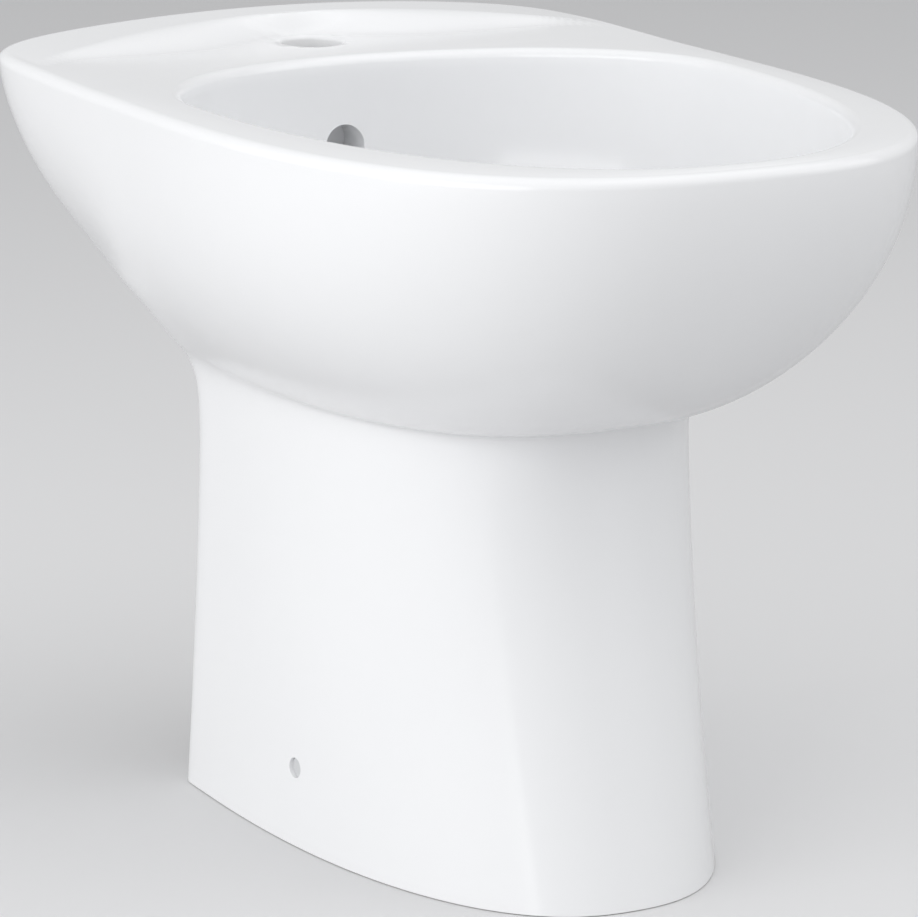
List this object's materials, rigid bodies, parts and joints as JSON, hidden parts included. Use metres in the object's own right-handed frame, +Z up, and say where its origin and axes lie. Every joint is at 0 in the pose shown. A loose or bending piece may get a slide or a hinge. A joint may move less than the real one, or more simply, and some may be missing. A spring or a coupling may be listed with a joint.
{
  "type": "floor standing bidet",
  "caption": "Floor standing bidet in one piece of glazed china: oval bowl with a tap deck and overflow on a waisted pedestal, with a click waste and hidden floor fixings.",
  "frame": {"origin": "middle of the bounding box at floor level, on the underside of the foot", "axes": "+Z up, -Y the front tip of the bowl, +Y the wall side, X across"},
  "size_m": [0.3678, 0.5357, 0.412],
  "materials": {
    "china": "glossy white glaze",
    "chrome": "polished chrome plate",
    "brass": "turned brass",
    "steel": "zinc plated steel",
    "rubber": "matt black rubber",
    "plastic": "pale grey moulded plastic"
  },
  "bodies": {
    "base": {"ceramic_body": "china", "waste_body": "chrome", "flange_gasket": "rubber", "body_gasket": "rubber", "slip_washer": "plastic", "backnut": "brass", "cartridge_housing": "brass", "plug_spring": "steel", "bracket_left": "plastic", "bracket_right": "plastic", "bracket_nuts": "steel", "side_sleeves": "plastic", "side_screws": "steel", "cover_caps": "plastic"},
    "plug": {"plug_cap": "chrome", "plug_seal": "rubber", "plug_stem": "brass"}
  },
  "joints": [
    {"name": "plug_press", "type": "slide", "parent": "base", "child": "plug", "axis": [0, 0, 1], "range_m": [-0.0085, 0], "stiffness_N_per_m": 400, "springref_m": 0.004, "deforming": ["plug_spring"]}
  ]
}
